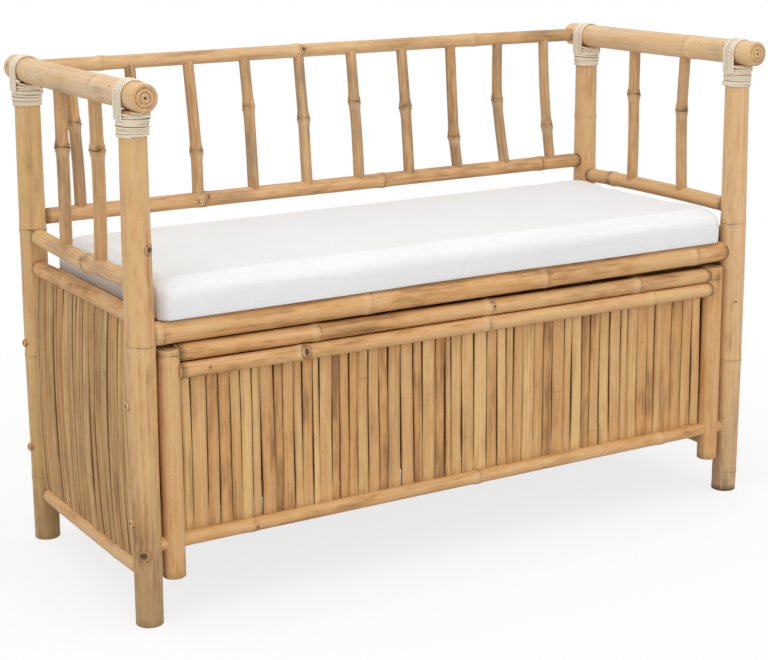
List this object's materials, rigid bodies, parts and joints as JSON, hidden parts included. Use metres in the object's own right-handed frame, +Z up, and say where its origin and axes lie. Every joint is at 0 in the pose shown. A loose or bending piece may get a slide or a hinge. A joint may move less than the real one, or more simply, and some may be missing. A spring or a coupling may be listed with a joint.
{
  "type": "garden storage bench",
  "caption": "Bamboo bench with lashed arms, a spindled back and a loose seat cushion over a slatted box whose front folds down.",
  "frame": {"origin": "on the floor under the middle of the bench", "axes": "+X along the length towards the viewer's right, +Y towards the back, +Z up"},
  "size_m": [1.0084, 0.438, 0.6952],
  "materials": {
    "bamboo_pole": "satin",
    "bamboo_slat": "matt",
    "cane": "matt",
    "cushion_cotton": "plain weave"
  },
  "bodies": {
    "frame": {"leg_front_left": "bamboo_pole", "leg_front_right": "bamboo_pole", "leg_back_left": "bamboo_pole", "leg_back_right": "bamboo_pole", "arm_rail_left": "bamboo_pole", "lower_arm_rail_left": "bamboo_pole", "side_top_rail_left": "bamboo_pole", "side_bottom_rail_left": "bamboo_pole", "side_mid_rail_lower_left": "bamboo_pole", "side_mid_rail_upper_left": "bamboo_pole", "arm_spindle_front_left": "bamboo_pole", "arm_spindle_rear_left": "bamboo_pole", "arm_rail_right": "bamboo_pole", "lower_arm_rail_right": "bamboo_pole", "side_top_rail_right": "bamboo_pole", "side_bottom_rail_right": "bamboo_pole", "side_mid_rail_lower_right": "bamboo_pole", "side_mid_rail_upper_right": "bamboo_pole", "arm_spindle_front_right": "bamboo_pole", "arm_spindle_rear_right": "bamboo_pole", "back_mid_rail": "bamboo_pole", "back_top_rail": "bamboo_pole", "back_spindle_1": "bamboo_pole", "back_spindle_2": "bamboo_pole", "back_spindle_3": "bamboo_pole", "back_spindle_4": "bamboo_pole", "back_spindle_5": "bamboo_pole", "back_spindle_6": "bamboo_pole", "back_spindle_7": "bamboo_pole", "back_spindle_8": "bamboo_pole", "back_spindle_9": "bamboo_pole", "back_spindle_10": "bamboo_pole", "seat_rail_front": "bamboo_pole", "seat_rail_back": "bamboo_pole", "seat_bearers": "bamboo_pole", "rear_bottom_rail": "bamboo_pole", "locking_pegs": "bamboo_pole", "seat_slats": "bamboo_slat", "side_slats_left": "bamboo_slat", "side_slats_right": "bamboo_slat", "rear_slats": "bamboo_slat", "rear_battens": "bamboo_slat", "floor_slats": "bamboo_slat", "lashing_necks": "cane", "lashing_straps": "cane"},
    "front_flap": {"flap_post_left": "bamboo_pole", "flap_post_right": "bamboo_pole", "flap_bottom_rail": "bamboo_pole", "flap_top_rail": "bamboo_pole", "flap_upper_rail": "bamboo_pole", "flap_slats": "bamboo_slat", "flap_battens": "bamboo_slat"},
    "cushion": {"seat_cushion": "cushion_cotton"}
  },
  "joints": [
    {"name": "flap_hinge", "type": "hinge", "parent": "frame", "child": "front_flap", "pos_m": [0, -0.181, 0.103], "axis": [1, 0, 0], "range_deg": [0, 104]},
    {"name": "cushion_lift", "type": "slide", "parent": "frame", "child": "cushion", "axis": [0, 0, 1], "range_m": [0, 0.32]}
  ]
}
